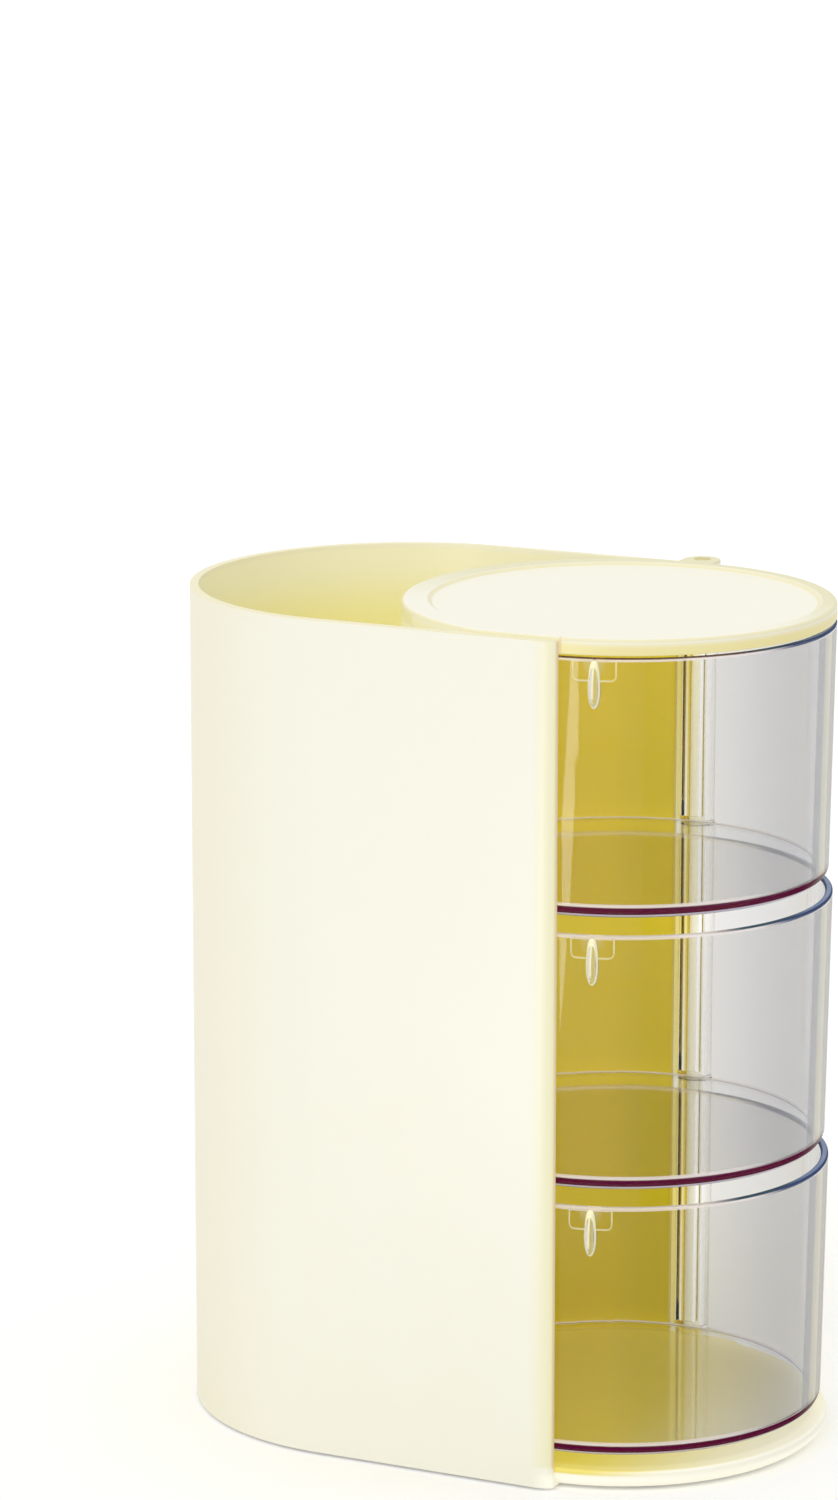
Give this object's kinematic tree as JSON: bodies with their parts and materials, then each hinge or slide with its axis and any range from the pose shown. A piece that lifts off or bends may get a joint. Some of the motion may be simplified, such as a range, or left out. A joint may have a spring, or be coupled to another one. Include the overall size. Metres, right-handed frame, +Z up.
{
  "type": "hair accessory organizer",
  "caption": "Upright hair accessory organizer with an open brush pocket beside stacked clear round trays that swing out on one rear hinge rod.",
  "frame": {"origin": "centre of the footprint's bounding box, on the surface the feet stand on", "axes": "+Z up, +X from the brush pocket to the trays, -Y to the front where the tray pulls are"},
  "size_m": [0.1652, 0.1162, 0.212],
  "materials": {
    "cream_plastic": "satin moulded",
    "clear_plastic": "polished, clear",
    "soft_rubber": "matt"
  },
  "bodies": {
    "housing": {"housing": "cream_plastic", "top_cover": "cream_plastic", "hinge_rod": "cream_plastic", "foot_1": "soft_rubber", "foot_2": "soft_rubber", "foot_3": "soft_rubber", "foot_4": "soft_rubber"},
    "tray_bottom": {"tray_bottom": "clear_plastic"},
    "tray_middle": {"tray_middle": "clear_plastic"},
    "tray_top": {"tray_top": "clear_plastic"}
  },
  "joints": [
    {"name": "tray_bottom_swing", "type": "hinge", "parent": "housing", "child": "tray_bottom", "pos_m": [0.02755, 0.05292, 0.0406], "axis": [0, 0, 1], "range_deg": [0, 195]},
    {"name": "tray_middle_swing", "type": "hinge", "parent": "housing", "child": "tray_middle", "pos_m": [0.02755, 0.05292, 0.1081], "axis": [0, 0, 1], "range_deg": [0, 195]},
    {"name": "tray_top_swing", "type": "hinge", "parent": "housing", "child": "tray_top", "pos_m": [0.02755, 0.05292, 0.1756], "axis": [0, 0, 1], "range_deg": [0, 195]}
  ]
}
